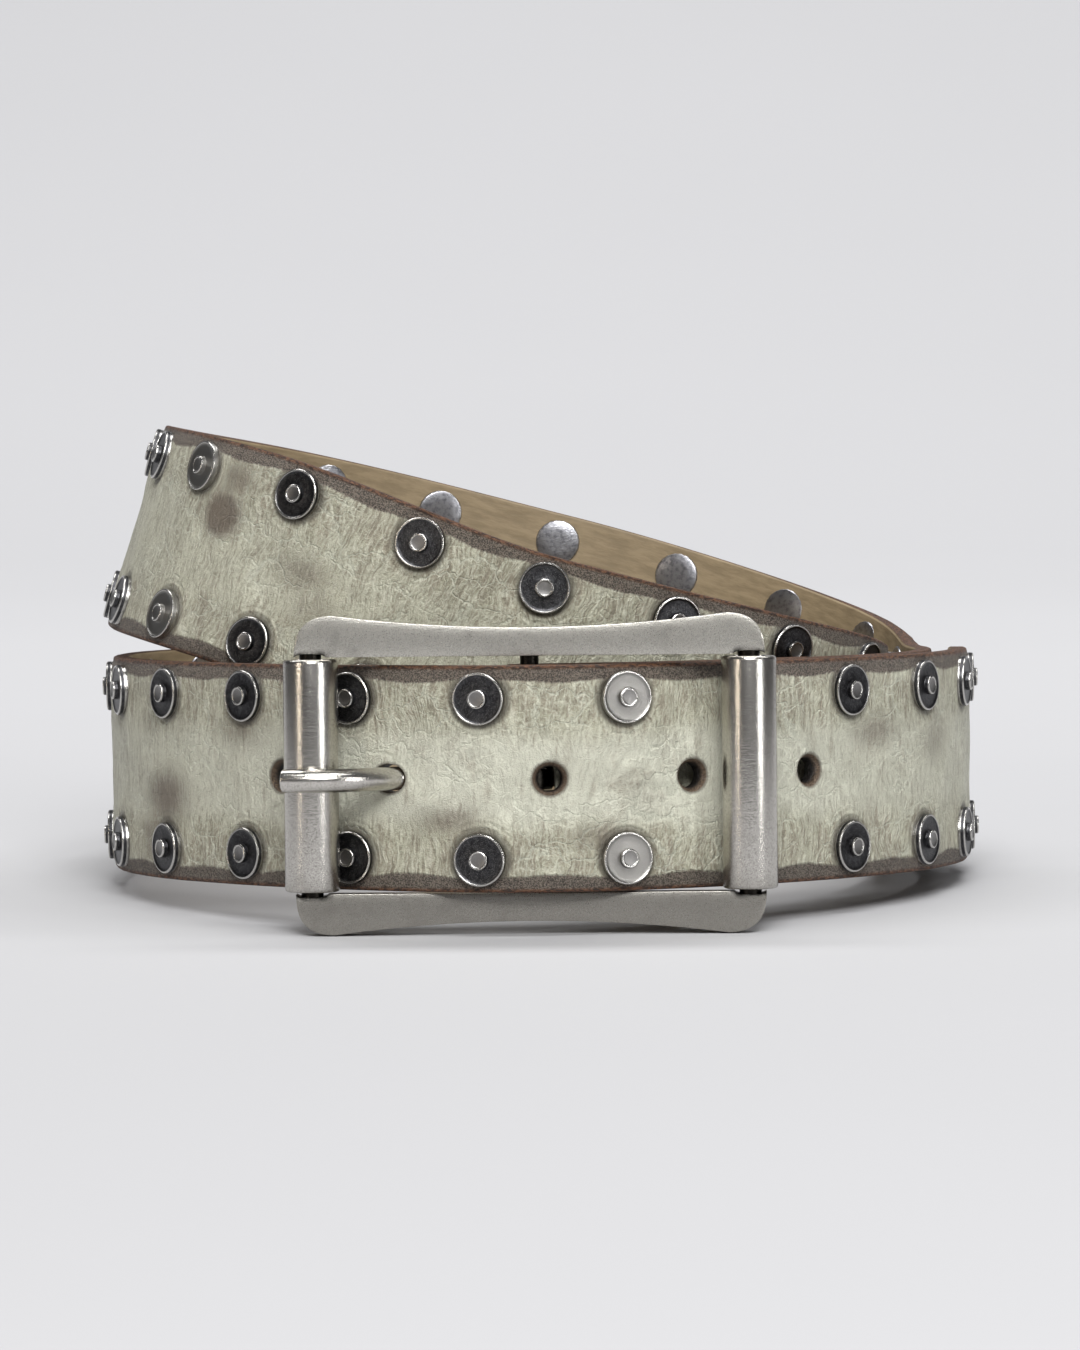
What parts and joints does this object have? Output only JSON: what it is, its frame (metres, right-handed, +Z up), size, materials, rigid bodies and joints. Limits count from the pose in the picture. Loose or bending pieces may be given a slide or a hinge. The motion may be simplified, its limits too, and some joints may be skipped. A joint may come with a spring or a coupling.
{
  "type": "studded belt",
  "caption": "Buckled studded leather belt coiled in two turns, with a rectangular roller buckle and prong.",
  "frame": {"origin": "middle of the belt's box, on the surface that it stands on", "axes": "+Z up, the buckle at the front on -Y, +X to the right as seen from the front"},
  "size_m": [0.161, 0.1828, 0.0842],
  "materials": {
    "leather": "whitewashed sage grey leather, smoother tan inside, dark edges, dark metal studs",
    "aged_nickel": "antique silver with fine speckle",
    "roller_nickel": "antique silver, worn smooth"
  },
  "bodies": {
    "belt": {"strap": "leather", "buckle_frame": "aged_nickel", "prong": "roller_nickel"},
    "roller_left": {"roller_left": "roller_nickel"},
    "roller_right": {"roller_right": "roller_nickel"}
  },
  "joints": [
    {"name": "roller_left_spin", "type": "hinge", "parent": "belt", "child": "roller_left", "pos_m": [-0.03655, -0.08227, 0.02723], "axis": [0, 0.0455, 0.999], "continuous": true},
    {"name": "roller_right_spin", "type": "hinge", "parent": "belt", "child": "roller_right", "pos_m": [0.03805, -0.08227, 0.02723], "axis": [0, 0.0455, 0.999], "continuous": true}
  ]
}
